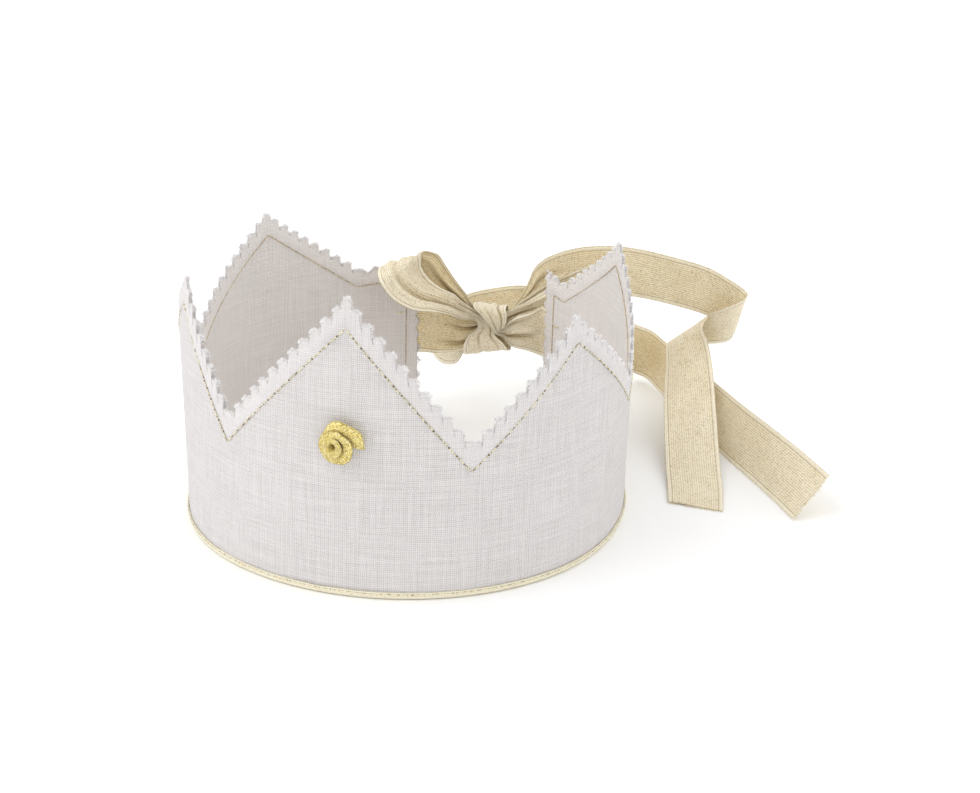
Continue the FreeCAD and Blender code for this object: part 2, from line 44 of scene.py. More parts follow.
RADIUS_PLACES = [-240, -160, -80, 0, 80, 160, 240]
RADII = [82.0, 79.5, 85.5, 73.0, 78.0, 107.0, 100.5]
LEFT_END = -234.5
RIGHT_END = 221.0
FRONT_REACH = 80.0
WALL_BOTTOM = 0.5
CORNERS = [
    (LEFT_END, 62.3), (-211.0, 59.7), (-171.3, 86.4), (-124.5, 52.6), (-75.8, 89.9), (-45.5, 52.6),
    (0.0, 100.0), (39.8, 52.6), (77.6, 88.3), (124.5, 52.6), (171.3, 86.4), (211.0, 59.7), (RIGHT_END, 62.3),
]
TOOTH_PITCH = 5.4
TOOTH_DEPTH = 2.2
TOOTH_FLAT = 0.15
TIP_CUT_LEAN = 0.15
END_TOOTH_DEPTH = 1.9
SEAM_INSET = 6.4
END_SEAM_INSET = 5.5
STITCH_PITCH = 3.8
BINDING_STITCH_PITCH = 2.6
BINDING_HEIGHT = 2.5
BINDING_FOLD = 0.9
BINDING_THICKNESS = 0.38
LINEN_INNER = 0.35
LINEN_FACE = 0.85
SEAM_LEVEL = LINEN_FACE + 0.10
BINDING_STITCH_LEVEL = LINEN_FACE + 0.55
LEFT_LEAN, LEFT_LEAN_PLACE, LEFT_LEAN_REACH = 2.5, -112.0, 62.0
RIGHT_LEAN, RIGHT_LEAN_PLACE, RIGHT_LEAN_REACH = 0.9, 118.0, 50.0
LEAN_HEIGHT = 75.0
STIFFENER_INSET = 8.0
STIFFENER_END_INSET = 14.0
STIFFENER_HALF = 0.2
RIBBON_WIDTH = 20.0
RIBBON_THICKNESS = 0.4
LEFT_RIBBON_HEIGHT = 35.5
RIGHT_RIBBON_HEIGHT = 37.6
RIBBON_TUCK = 10.0
ROSE_PLACE = -3.5
ROSE_HEIGHT = 53.0


def walk_plan(reach, step=0.5):
    """Rows of place, x, y and heading along the curved plan, from the front to one end."""
    side = math.copysign(1, reach)
    x, y, heading = 0.0, -FRONT_REACH, 0.0
    rows = [(0.0, x, y, heading)]
    for i in range(int(abs(reach) / step) + 1):
        place = side * (i + 0.5) * step
        bend = np.interp(place, RADIUS_PLACES, [1 / radius for radius in RADII])
        middle = heading + side * step / 2 * bend
        x += side * step * math.cos(middle)
        y += side * step * math.sin(middle)
        heading += side * step * bend
        rows.append((side * (i + 1) * step, x, y, heading))
    return rows


PLAN = np.array(walk_plan(LEFT_END - 20)[:0:-1] + walk_plan(RIGHT_END + 20))


def side_lean(place, height):
    """How far the soft wall leans in towards its foot at the left and right sides."""
    left = np.clip(1 - np.abs(place - LEFT_LEAN_PLACE) / LEFT_LEAN_REACH, 0, 1)
    right = np.clip(1 - np.abs(place - RIGHT_LEAN_PLACE) / RIGHT_LEAN_REACH, 0, 1)
    foot = np.clip(1 - height / LEAN_HEIGHT, 0, 1)
    return -foot * (LEFT_LEAN * left ** 2 * (3 - 2 * left) + RIGHT_LEAN * right ** 2 * (3 - 2 * right))


def wall_point(place, height, outward):
    """Points of the wall in millimetres, as an array with a last axis of three."""
    place = np.asarray(place, float)
    outward = outward + side_lean(place, np.asarray(height, float))
    x = np.interp(place, PLAN[:, 0], PLAN[:, 1])
    y = np.interp(place, PLAN[:, 0], PLAN[:, 2])
    heading = np.interp(place, PLAN[:, 0], PLAN[:, 3])
    height = np.broadcast_to(height, place.shape)
    return np.stack([x + outward * np.sin(heading), y - outward * np.cos(heading), height], axis=-1)


def pinked_columns():
    """Columns of cloth: place of the foot, place and height on the pinked edge, and 1 at a tooth's tip."""
    steps = 8
    rows = []
    for (a, a_height), (b, b_height) in zip(CORNERS, CORNERS[1:]):
        run = b - a
        rise = b_height - a_height
        length = math.hypot(run, rise)
        teeth = max(1, round(length / TOOTH_PITCH))
        for k in range(teeth * steps):
            tooth = k / steps
            cut = 2 * abs(tooth - round(tooth))
            from_peak = teeth - tooth if rise > 0 else tooth
            # the cuts beside a point lean least, which leaves its tip tooth broad
            lean = 1.0
            if from_peak < 1:
                upright = 1.0 if from_peak <= 0.5 else cut
                lean = TIP_CUT_LEAN + (1 - TIP_CUT_LEAN) * (1 - upright)
            depth = TOOTH_DEPTH * (max(0.0, cut - TOOTH_FLAT) / (1 - TOOTH_FLAT)) ** 1.1
            share = tooth / teeth
            height = a_height + rise * share - depth * run / length
            if from_peak <= 0.5:
                drop = abs(rise) * 0.5 / teeth + TOOTH_DEPTH * run / length
                height = max(a_height, b_height) - drop * cut ** 2.8
            tip = 1.0 if k % steps == 0 else 0.0
            rows.append((a + run * share, a + run * share + lean * depth * rise / length, height, tip))
    rows.append((RIGHT_END, RIGHT_END, CORNERS[-1][1], 1.0))
    return np.array(rows)


def inset_line(inset, start, end):
    """Places and heights of a line that keeps its distance from the points' outline."""
    lines = []
    for (a, a_height), (b, b_height) in zip(CORNERS, CORNERS[1:]):
        slope = (b_height - a_height) / (b - a)
        lines.append((slope, a_height - slope * a - inset * math.hypot(1, slope)))
    result = [(start, lines[0][0] * start + lines[0][1])]
    for (a_slope, a_rise), (b_slope, b_rise) in zip(lines, lines[1:]):
        place = (b_rise - a_rise) / (a_slope - b_slope)
        if start < place < end:
            result.append((place, a_slope * place + a_rise))
    result.append((end, lines[-1][0] * end + lines[-1][1]))
    return result


COLUMNS = pinked_columns()
EDGE = COLUMNS[:, 1:3]


# Meshes

def grid_faces(rows, columns, first=0, flip=False):
    """Quads of a grid of points whose numbers start at first."""
    r, c = np.meshgrid(np.arange(rows - 1), np.arange(columns - 1), indexing="ij")
    a = (first + r * columns + c).ravel()
    quads = np.stack([a, a + 1, a + columns + 1, a + columns], axis=1)
    return quads[:, ::-1] if flip else quads


def new_mesh(name, points, faces, cloth=None):
    """A smooth mesh object from millimetre points, with each point's place on the flat cloth."""
    mesh = bpy.data.meshes.new(name)
    mesh.from_pydata((np.asarray(points, float) * MM).tolist(), [], [list(map(int, f)) for f in faces])
    mesh.validate()
    if cloth is not None:
        layer = mesh.attributes.new("cloth", "FLOAT_VECTOR", "POINT")
        layer.data.foreach_set("vector", np.asarray(cloth, np.float32).ravel())
    mesh.shade_smooth()
    item = bpy.data.objects.new(name, mesh)
    bpy.context.scene.collection.objects.link(item)
    return item


def thick_sheet(name, front, back, cloth):
    """A closed sheet from two grids of points that face away from each other."""
    rows, columns = front.shape[:2]
    count = rows * columns
    faces = [grid_faces(rows, columns), grid_faces(rows, columns, count, True)]
    ring = list(range(columns)) + [r * columns + columns - 1 for r in range(1, rows)]
    ring += [(rows - 1) * columns + c for c in range(columns - 2, -1, -1)]
    ring += [r * columns for r in range(rows - 2, 0, -1)]
    ring = np.array(ring)
    after = np.roll(ring, -1)
    faces.append(np.stack([after, ring, ring + count, after + count], axis=1))
    points = np.concatenate([front.reshape(-1, 3), back.reshape(-1, 3)])
    return new_mesh(name, points, np.concatenate(faces), np.concatenate([cloth.reshape(-1, 3)] * 2))


def ridge_noise(rng, count, size):
    """Sums of a few smooth waves over the cloth, about one millimetre high in all."""
    waves = [(rng.uniform(-1, 1), rng.uniform(-1, 1), rng.uniform(0, 6.3)) for i in range(count)]

    def height(a, b):
        total = 0
        for ka, kb, phase in waves:
            total = total + np.sin(2 * math.pi * (ka * a + kb * b) / size + phase)
        return total / count

    return height


# Materials

# The cloth's third value is a number of the layer times this, plus a share for the margin.
LAYER_STEP = 40.0


class Shader:
    """A material with a few short ways to add and join its nodes."""

    def __init__(self, name):
        self.material = bpy.data.materials.new(name)
        self.material.use_nodes = True
        self.tree = self.material.node_tree
        self.surface = self.tree.nodes["Principled BSDF"]

    def node(self, kind, settings=None, **sockets):
        made = self.tree.nodes.new(kind)
        for key, value in (settings or {}).items():
            setattr(made, key, value)
        for key, value in sockets.items():
            self.put(made.inputs[key.replace("_", " ")], value)
        return made

    def put(self, socket, value):
        if isinstance(value, bpy.types.NodeSocket):
            self.tree.links.new(value, socket)
        else:
            socket.default_value = value

    def math(self, operation, a, b=0.0):
        made = self.tree.nodes.new("ShaderNodeMath")
        made.operation = operation
        for socket, value in zip(made.inputs, (a, b)):
            self.put(socket, value)
        return made.outputs[0]

    def cloth(self):
        """The place on the cloth as a vector, and its parts: along, across and the layer's own value."""
        made = self.node("ShaderNodeAttribute", {"attribute_name": "cloth"})
        parts = self.node("ShaderNodeSeparateXYZ", Vector=made.outputs["Vector"])
        return [made.outputs["Vector"], *parts.outputs]

    def noise(self, vector, stretch, detail=3.0):
        moved = self.node("ShaderNodeMapping", Vector=vector, Scale=stretch)
        made = self.node("ShaderNodeTexNoise", Vector=moved.outputs[0], Scale=1.0, Detail=detail)
        return made.outputs["Fac"]

    def remap(self, value, low, high, to_low, to_high):
        made = self.node("ShaderNodeMapRange")
        for socket, item in zip(made.inputs, (value, low, high, to_low, to_high)):
            self.put(socket, item)
        return made.outputs[0]

    def blend(self, factor, a, b):
        made = self.node("ShaderNodeMix", {"data_type": "RGBA"})
        self.put(made.inputs[0], factor)
        self.put(made.inputs[6], a)
        self.put(made.inputs[7], b)
        return made.outputs[2]

    def bump(self, height, distance):
        made = self.node("ShaderNodeBump", Height=height, Distance=distance, Strength=1.0)
        self.put(self.surface.inputs["Normal"], made.outputs[0])

    def set(self, **sockets):
        for key, value in sockets.items():
            self.put(self.surface.inputs[key.replace("_", " ")], value)


def linen_material(name, light, dark):
    """A plain weave with uneven yarns, a little whiter at the frayed margin outside the seam."""
    s = Shader(name)
    cloth, along, up, layer = s.cloth()
    pitch = 0.66
    wander_u = s.math("MULTIPLY", s.noise(cloth, (0.05, 0.4, 1)), 0.9)
    wander_v = s.math("MULTIPLY", s.noise(cloth, (0.4, 0.05, 1)), 0.9)
    a = s.math("SINE", s.math("MULTIPLY", s.math("ADD", along, wander_u), math.pi / pitch))
    b = s.math("SINE", s.math("MULTIPLY", s.math("ADD", up, wander_v), math.pi / pitch))
    cell = s.math("ABSOLUTE", s.math("MULTIPLY", a, b))
    warp = s.noise(cloth, (1.5, 0.05, 1), 2.0)
    weft = s.noise(cloth, (0.05, 1.5, 1), 2.0)
    slub = s.math("ADD", warp, weft)
    height = s.math("ADD", cell, s.math("MULTIPLY", slub, 1.2))
    tone = s.math("ADD", s.math("MULTIPLY", cell, 0.85), s.math("MULTIPLY", slub, 0.75))
    base = s.blend(s.remap(tone, 0.65, 1.6, 0.0, 1.0), dark, light)
    margin = s.math("MODULO", layer, LAYER_STEP)
    base = s.blend(s.math("MULTIPLY", margin, 0.5), base, light)
    s.set(Base_Color=base, Roughness=0.92, Specular_IOR_Level=0.15)
    s.set(Sheen_Weight=0.25, Sheen_Roughness=0.5)
    s.bump(height, 0.00016)
    return s.material


def ribbon_material(name, pale, deep, dark, rib=0.83, metal=0.55,
                    glitter=0.5, often=0.28, fine=2.4, glint=(1.0, 0.97, 0.84, 1), golden_and_shade=None):
    """Ribbed metallic ribbon. The pair of gold tones is for the gold side and for painted warm shade on the
    stretches that the first shade value names; the second shade value paints shade in the creases.
    """
    s = Shader(name)
    cloth, along, across = s.cloth()[:3]
    ribs = s.math("ABSOLUTE", s.math("SINE", s.math("MULTIPLY", across, math.pi / rib)))
    picks = s.math("ABSOLUTE", s.math("SINE", s.math("MULTIPLY", along, math.pi / 0.62)))
    fleck = s.node("ShaderNodeTexVoronoi", Vector=cloth, Scale=fine)
    chance = s.node("ShaderNodeSeparateXYZ", Vector=fleck.outputs["Color"])
    streak = s.noise(cloth, (0.05, 1.6, 1))
    grain = s.noise(cloth, (1.3, 1.3, 1), 2.0)
    patch = s.noise(cloth, (0.12, 0.12, 1), 2.0)
    across_share = s.remap(patch, 0.42, 0.62, 0.25, 0.75)
    between_picks = s.math("MULTIPLY", across_share, s.math("SUBTRACT", 1.0, picks))
    weave = s.math("MULTIPLY", ribs, s.math("SUBTRACT", 1.0, between_picks))
    mix = s.math("ADD", s.math("MULTIPLY", weave, 0.6), s.math("MULTIPLY", streak, 0.9))
    tone = s.remap(mix, 0.35, 1.05, 0.0, 1.0)
    base = s.blend(tone, deep, pale)
    # gold tone on the front face: partly the ribbon's gold side, partly painted warm shade on stretches that
    # lie in shade
    if golden_and_shade:
        shade = s.node("ShaderNodeAttribute", {"attribute_name": "shade"})
        shade = s.node("ShaderNodeSeparateXYZ", Vector=shade.outputs["Vector"])
        base = s.blend(shade.outputs[0], base, s.blend(tone, golden_and_shade[1], golden_and_shade[0]))
    # painted shade in the grooves between the ribs and picks
    base = s.blend(s.remap(weave, 0.0, 0.3, 0.6, 0.0), base, dark)
    # painted shade in the creases of the pleats, from the second shade value
    if golden_and_shade:
        base = s.blend(shade.outputs[1], base, dark)
    # single flat metal threads that catch the light or lie in shade
    base = s.blend(s.remap(chance.outputs[0], 1 - often, 1.0, 0.0, glitter), base, glint)
    base = s.blend(s.remap(chance.outputs[1], 1 - often, 1.0, 0.0, glitter), base, dark)
    # the woven edge: a paler band with a dark line on each side
    inner = s.math("SUBTRACT", RIBBON_WIDTH / 2, s.math("ABSOLUTE", across))
    edge = s.remap(s.math("ABSOLUTE", s.math("SUBTRACT", inner, 0.85)), 0.3, 0.5, 1.0, 0.0)
    base = s.blend(s.math("MULTIPLY", edge, 0.6), base, (1.0, 0.95, 0.80, 1))
    line = s.remap(s.math("ABSOLUTE", s.math("SUBTRACT", inner, 1.5)), 0.1, 0.3, 1.0, 0.0)
    base = s.blend(s.math("MULTIPLY", line, 0.45), base, dark)
    s.set(Base_Color=base, Roughness=s.remap(grain, 0.3, 0.7, 0.25, 0.6))
    s.set(Metallic=s.remap(chance.outputs[2], 0.45, 0.95, 0.0, metal), Sheen_Weight=0.1)
    s.bump(s.math("ADD", weave, s.math("MULTIPLY", grain, 0.9)), 0.00016)
    return s.material


def plain_material(name, color, roughness, metallic=0.0):
    s = Shader(name)
    s.set(Base_Color=color, Roughness=roughness, Metallic=metallic)
    return s.material


def thread_material(name, pale, dark, share):
    """Gold thread with painted glints and painted dark reflections from one short length to the next."""
    s = Shader(name)
    coordinates = s.node("ShaderNodeTexCoord")
    noise = s.node("ShaderNodeTexNoise", Vector=coordinates.outputs["Object"], Scale=1500.0, Detail=2.0)
    tone = s.remap(noise.outputs["Fac"], share, share + 0.1, 0.0, 1.0)
    s.set(Base_Color=s.blend(tone, pale, dark), Roughness=0.4, Metallic=0.35)
    s.bump(noise.outputs["Fac"], 0.00008)
    return s.material


LINEN = linen_material("linen", (0.89, 0.86, 0.855, 1), (0.56, 0.535, 0.525, 1))
LINING = linen_material("lining", (0.90, 0.855, 0.825, 1), (0.66, 0.62, 0.595, 1))
STIFFENER = plain_material("stiffener", (0.85, 0.85, 0.84, 1), 0.9)
RIBBON = ribbon_material(
    "ribbon", (0.96, 0.875, 0.69, 1), (0.86, 0.74, 0.49, 1), (0.36, 0.26, 0.10, 1),
    golden_and_shade=((0.91, 0.78, 0.50, 1), (0.73, 0.56, 0.27, 1)))
ROSE = ribbon_material(
    "rose", (0.96, 0.81, 0.30, 1), (0.80, 0.60, 0.11, 1), (0.36, 0.24, 0.02, 1),
    rib=0.55, metal=0.6, glitter=0.9, often=0.5, fine=4.2, glint=(1.0, 0.94, 0.58, 1))
BINDING = ribbon_material(
    "binding", (0.99, 0.95, 0.80, 1), (0.95, 0.87, 0.62, 1), (0.75, 0.60, 0.32, 1),
    rib=0.6, metal=0.3)
THREAD = thread_material("gold_thread", (0.88, 0.82, 0.60, 1), (0.30, 0.23, 0.10, 1), 0.50)
BOBBIN = thread_material("gold_bobbin_thread", (0.66, 0.52, 0.26, 1), (0.34, 0.25, 0.10, 1), 0.50)
# dark tubes in the needle holes: painted shade inside each hole
HOLE_SHADE = plain_material("needle_hole_shade", (0.20, 0.15, 0.08, 1), 0.9)
RIBBON_FRAY = plain_material("ribbon_fray", (0.90, 0.78, 0.50, 1), 0.4, 0.3)
FRAY = plain_material("linen_fray", (0.97, 0.96, 0.96, 1), 0.9)


def dress(item, material, node=None):
    """Gives a piece its material and slot, puts it under the root body and hides the solid that it stands
    for.
    """
    item.data.materials.append(material)
    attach(item, "root")
    if node:
        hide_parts(node)
    return item


# Walls

def end_shift(place, height):
    """How far a pinked end edge is cut back at a height, fading out a little way in."""
    wave = np.abs(((height - 3.0) / TOOTH_PITCH) % 1 - 0.5) * 2
    cut = END_TOOTH_DEPTH * wave
    left = np.clip((LEFT_END + 7 - place) / 7, 0, 1)
    right = np.clip((place - RIGHT_END + 7) / 7, 0, 1)
    return cut * (left - right)


WAVES = ridge_noise(random.Random(3), 9, 60.0)
RIPPLES = ridge_noise(random.Random(4), 12, 14.0)


def shared_bend(u, z):
    """The waves that all layers of the wall share."""
    return 0.35 * WAVES(u, z) * np.clip(z / 40, 0, 1) + 0.12 * RIPPLES(u, z)


def wall_layer(name, node, inner, outer, material, seed):
    """One cloth of the wall. Both cloths share their waves and come together at the cut edge."""
    fine = ridge_noise(random.Random(seed), 12, 9.0)
    foot, edge_place, edge_height = COLUMNS[:, 0], COLUMNS[:, 1], COLUMNS[:, 2]
    inset = inset_line(3.6, LEFT_END, RIGHT_END)
    under = np.interp(foot, [p for p, h in inset], [h for p, h in inset])
    low = np.linspace(0, 1, 24)[:-1, None]
    high = np.linspace(0, 1, 11)[:, None]
    u = np.concatenate([np.broadcast_to(foot, (len(low), len(foot))), foot + (edge_place - foot) * high])
    z = np.concatenate([WALL_BOTTOM + (under - WALL_BOTTOM) * low, under + (edge_height - under) * high])
    u = u + end_shift(u, z)
    tops = np.interp(foot, [p for p, h in CORNERS], [h for p, h in CORNERS])
    from_top = np.clip(1 - (tops - z) / (SEAM_INSET * 1.6), 0, 1)
    bend = shared_bend(u, z) + 0.03 * fine(u, z)
    bend = bend + 0.5 * from_top ** 1.5 * RIPPLES(u * 1.7, z + 31)
    closing = np.concatenate([np.zeros((len(low), 1)), np.clip(high * 1.5, 0, 1)])
    bend = bend - math.copysign(0.28, outer) * closing
    front = wall_point(u, z, outer + bend)
    back = wall_point(u, z, inner + bend)
    seam = inset_line(SEAM_INSET, LEFT_END, RIGHT_END)
    margin = np.clip(z - np.interp(u, [p for p, h in seam], [h for p, h in seam]), 0, 1)
    cloth = np.stack([u, z, seed * LAYER_STEP + 0.9 * margin], axis=-1)
    item = dress(thick_sheet(name, front, back, cloth), material, node)


def edge_point(place, height, outward):
    return Vector(wall_point(place, height, outward))


def add_tube(points, radius, store, sides):
    """Adds a thin tube along a few points to a store of points and faces."""
    path = [Vector(p) for p in points]
    first = len(store[0])
    for i, p in enumerate(path):
        along = (path[min(i + 1, len(path) - 1)] - path[max(i - 1, 0)]).normalized()
        side = along.orthogonal().normalized()
        other = along.cross(side)
        width = radius[i] if isinstance(radius, list) else radius
        for k in range(sides):
            turn = 2 * math.pi * k / sides
            store[0].append(p + side * math.cos(turn) * width + other * math.sin(turn) * width)
    for i in range(len(path) - 1):
        for k in range(sides):
            a = first + i * sides + k
            b = first + i * sides + (k + 1) % sides
            store[1].append((a, b, b + sides, a + sides))
    store[1].append(tuple(range(first + sides - 1, first - 1, -1)))
    last = first + (len(path) - 1) * sides
    store[1].append(tuple(range(last, last + sides)))


def edge_fray(name, outward, seed):
    """Loose fibres along the cut edges of one layer, with more and thicker ones at the tip of each tooth."""
    rng = random.Random(seed)
    store = ([], [])

    def fibre(place, height, slope, reach, width):
        across, rise = math.cos(slope), math.sin(slope)
        bow = rng.uniform(-0.3, 0.3)
        out = outward + rng.uniform(-0.4, 0.4)
        half_place = place + (across * 0.5 - rise * bow) * reach
        half_height = height + (rise * 0.5 + across * bow) * reach
        add_tube([
            edge_point(place - 0.4 * across, height - 0.4 * rise, outward),
            edge_point(half_place, half_height, out),
            edge_point(place + across * reach, height + rise * reach, out + rng.uniform(-0.3, 0.3)),
        ], [width, width, width * 0.5], store, 4)

    for (a, a_height), (b, b_height) in zip(EDGE, EDGE[1:]):
        length = math.hypot(b - a, b_height - a_height)
        normal = math.atan2(b - a, a_height - b_height)
        for k in range(int(length * 4.0 + rng.random())):
            share = rng.random()
            fibre(a + (b - a) * share, a_height + (b_height - a_height) * share,
                  normal + rng.uniform(-0.8, 0.8), rng.uniform(0.25, 0.8), rng.uniform(0.05, 0.10))
    tips = [row for row in COLUMNS if row[3] > 0.5]
    for before, tip, after in zip(tips, tips[1:], tips[2:]):
        left = math.atan2(tip[1] - before[1], before[2] - tip[2])
        right = math.atan2(after[1] - tip[1], tip[2] - after[2])
        normal = (left + right) / 2
        for k in range(16):
            aside = rng.uniform(-0.9, 0.9)
            fibre(tip[1] + aside * math.sin(normal), tip[2] - aside * math.cos(normal) - 0.2,
                  normal + rng.uniform(-0.7, 0.7) - 0.5 * aside,
                  rng.uniform(0.3, 1.0), rng.uniform(0.08, 0.16))
    for end, away in ((LEFT_END, math.pi), (RIGHT_END, 0)):
        for k in range(220):
            height = rng.uniform(3, 61)
            cut = float(end_shift(np.array(end), np.array(height)))
            slope = away + rng.uniform(-0.7, 0.7)
            fibre(end + cut, height, slope, rng.uniform(0.3, 1.0), rng.uniform(0.05, 0.10))
    dress(new_mesh(name, *store), FRAY)


def seam_path():
    """The seam up one end, along the points and down the other end."""
    start = LEFT_END + END_SEAM_INSET
    end = RIGHT_END - END_SEAM_INSET
    line = inset_line(SEAM_INSET, start, end)
    return [(start, BINDING_HEIGHT)] + line + [(end, BINDING_HEIGHT)]


# dark tubes at the needle holes, painting the shade inside the holes
HOLE_SHADES = ([], [])


def stitch_run(name, node, line, outward, material, seed, radius, pitch, gap, lift, hole=0.0):
    """Single stitches along a line of (place, height): each rises from its hole and dips into the next."""
    rng = random.Random(seed)
    store = ([], [])
    side = math.copysign(1, outward)
    for (a, a_height), (b, b_height) in zip(line, line[1:]):
        length = math.hypot(b - a, b_height - a_height)
        count = max(1, round(length / pitch))
        for k in range(count):
            points = []
            widths = []
            for t in (0.0, 0.12, 0.35, 0.65, 0.88, 1.0):
                share = (k + gap / 2 + t * (1 - gap)) / count
                rise = math.sin(math.pi * t) ** 0.5 if 0 < t < 1 else -0.6
                sway = rng.uniform(-0.05, 0.05)
                place = a + (b - a) * share + sway
                height = a_height + (b_height - a_height) * share + sway
                points.append(edge_point(place, height, outward + lift * rise * side))
                widths.append(radius * (0.75 if t in (0.0, 1.0) else 1.0))
            add_tube(points, widths, store, 6)
            # a dark tube into each needle hole: painted shade in the hole
            if hole and k:
                place = a + (b - a) * k / count
                height = a_height + (b_height - a_height) * k / count
                reach = [edge_point(place, height, outward - 0.25 * side),
                         edge_point(place, height, outward + 0.05 * side)]
                add_tube(reach, hole * rng.uniform(0.7, 1.3), HOLE_SHADES, 8)
    dress(new_mesh(name, *store), material, node)


def stiffener():
    """The hidden sheet between the two cloths, with their waves."""
    places = np.arange(LEFT_END + STIFFENER_END_INSET, RIGHT_END - STIFFENER_END_INSET + 1, 1.5)
    line = inset_line(STIFFENER_INSET, places[0], places[-1])
    tops = np.interp(places, [p for p, h in line], [h for p, h in line])
    z = WALL_BOTTOM + (tops - WALL_BOTTOM) * np.linspace(0, 1, 30)[:, None]
    u = np.broadcast_to(places, z.shape)
    bend = shared_bend(u, z)
    cloth = np.stack([u, z, np.zeros_like(z)], axis=-1)
    front = wall_point(u, z, bend + STIFFENER_HALF)
    back = wall_point(u, z, bend - STIFFENER_HALF)
    sheet = thick_sheet("stiffener_cloth", front, back, cloth)
    item = dress(sheet, STIFFENER, "interlining")


stiffener()
wall_layer("outer_linen_cloth", "linen_outer", LINEN_INNER, LINEN_FACE, LINEN, 3)
wall_layer("lining_cloth", "lining", -LINEN_INNER, -LINEN_FACE, LINING, 5)
edge_fray("outer_edge_fibres", 0.4, 11)
edge_fray("lining_edge_fibres", -0.4, 12)
stitch_run("needle_stitches", "seam_needle_thread", seam_path(), SEAM_LEVEL, THREAD,
           seed=21, radius=0.21, pitch=STITCH_PITCH, gap=0.15, lift=0.14, hole=0.30)
stitch_run("bobbin_stitches", "seam_bobbin_thread", seam_path(), -SEAM_LEVEL, BOBBIN,
           seed=22, radius=0.14, pitch=STITCH_PITCH, gap=0.12, lift=0.08, hole=0.16)

# Bound lower edge


def binding():
    """A gold tape folded around the lower edge, its two edges a little uneven."""
    places = np.arange(LEFT_END, RIGHT_END + 0.5, 1.2)
    places[-1] = RIGHT_END
    cover = LINEN_FACE + 0.1
    face = cover + BINDING_THICKNESS
    top = BINDING_HEIGHT
    profile = []
    for share in np.linspace(0, 1, 5):
        profile.append((face, top - (top - BINDING_FOLD) * share))
    for turn in np.linspace(0, math.pi, 11)[1:-1]:
        profile.append((face * math.cos(turn), BINDING_FOLD - 0.88 * math.sin(turn) ** 0.8))
    for share in np.linspace(0, 1, 5):
        profile.append((-face, BINDING_FOLD + (top - BINDING_FOLD) * share))
    profile += [(-cover, top), (-cover, BINDING_FOLD), (0, 0.42), (cover, BINDING_FOLD), (cover, top)]
    ring = np.array(profile + profile[:1])
    wobble = ridge_noise(random.Random(8), 8, 9.0)
    rows = []
    cloths = []
    arc = np.concatenate([[0], np.cumsum(np.hypot(*np.diff(ring, axis=0).T))])
    for place in places:
        lift = 0.12 * wobble(place, 0.0)
        rise = np.where(ring[:, 1] > 1.5, lift, 0)
        rows.append(wall_point(np.full(len(ring), place), ring[:, 1] + rise, ring[:, 0]))
        cloths.append(np.stack([np.full(len(ring), place), arc, np.zeros(len(ring))], axis=-1))
    points = np.array(rows)
    count, around = points.shape[:2]
    faces = grid_faces(count, around).tolist()
    faces.append(list(range(around - 1)))
    faces.append([(count - 1) * around + k for k in range(around - 2, -1, -1)])
    item = new_mesh("binding_tape", points.reshape(-1, 3), faces, np.array(cloths).reshape(-1, 3))
    dress(item, BINDING, "edge_binding")


binding()
BINDING_LINE = [(LEFT_END + 0.5, 1.9), (RIGHT_END - 0.5, 1.9)]
stitch_run("binding_needle_stitches", "binding_needle_thread", BINDING_LINE, BINDING_STITCH_LEVEL, THREAD,
           seed=23, radius=0.12, pitch=BINDING_STITCH_PITCH, gap=0.2, lift=0.06)
stitch_run("binding_bobbin_stitches", "binding_bobbin_thread", BINDING_LINE, -BINDING_STITCH_LEVEL, BOBBIN,
           seed=24, radius=0.12, pitch=BINDING_STITCH_PITCH, gap=0.2, lift=0.06)
# the painted shade of the needle holes
dress(new_mesh("needle_hole_shades", *HOLE_SHADES), HOLE_SHADE)

# Ribbons
# Each row is a point on the lower edge counted from the knot, a direction across and a share of the width.
# The tails' heights are counted from the table, in ribbon widths.

KNOT = (wall_point(LEFT_END, 0, 0) + wall_point(RIGHT_END, 0, 0)) / 2 + np.array([3.7, -3.1, 42.5])

LEFT_BASE_TO_KNOT = [
    (-21.5, 1.2, -16.6, 0, 0, 1, 0.95),
    (-16.5, 0.6, -15.6, 0, 0, 1, 0.86),
    (-11.0, -0.4, -13.8, 0, 0, 1, 0.68),
    (-5.6, -1.2, -10.1, 0, 0, 1, 0.50),
    (-1.0, -1.6, -6.6, 0, 0, 1, 0.41),
    (4.2, -1.4, -4.8, 0, 0, 1, 0.38),
]
RIGHT_LOOP = [
    (12.5, 4.8, -2.6, -0.06, 0, 1, 0.42),
    (20.4, 8.6, -4.9, -0.09, 0, 1, 0.76),
    (29.5, 9.6, -4.0, -0.10, 0, 1, 0.95),
    (39.5, 8.0, 1.6, -0.13, 0, 1, 0.98),
    (46.3, 6.4, 5.0, -0.14, -0.05, 1, 0.98),
    (48.6, 9.2, 5.2, -0.14, -0.05, 1, 0.98),
    (45.6, 13.0, 3.6, -0.13, -0.05, 1, 0.98),
    (38.0, 16.8, 1.0, -0.12, -0.05, 1, 0.98),
    (28.0, 18.4, -3.8, -0.10, -0.05, 1, 0.95),
    (19.4, 16.0, -5.5, -0.08, -0.05, 1, 0.82),
    (11.8, 9.4, -2.8, -0.04, -0.05, 1, 0.45),
    (6.2, 2.6, -4.2, 0, 0, 1, 0.36),
    (0.5, 0.8, -4.4, 0, 0, 1, 0.36),
    (-5.0, 1.1, -9.4, 0, 0, 1, 0.36),
]
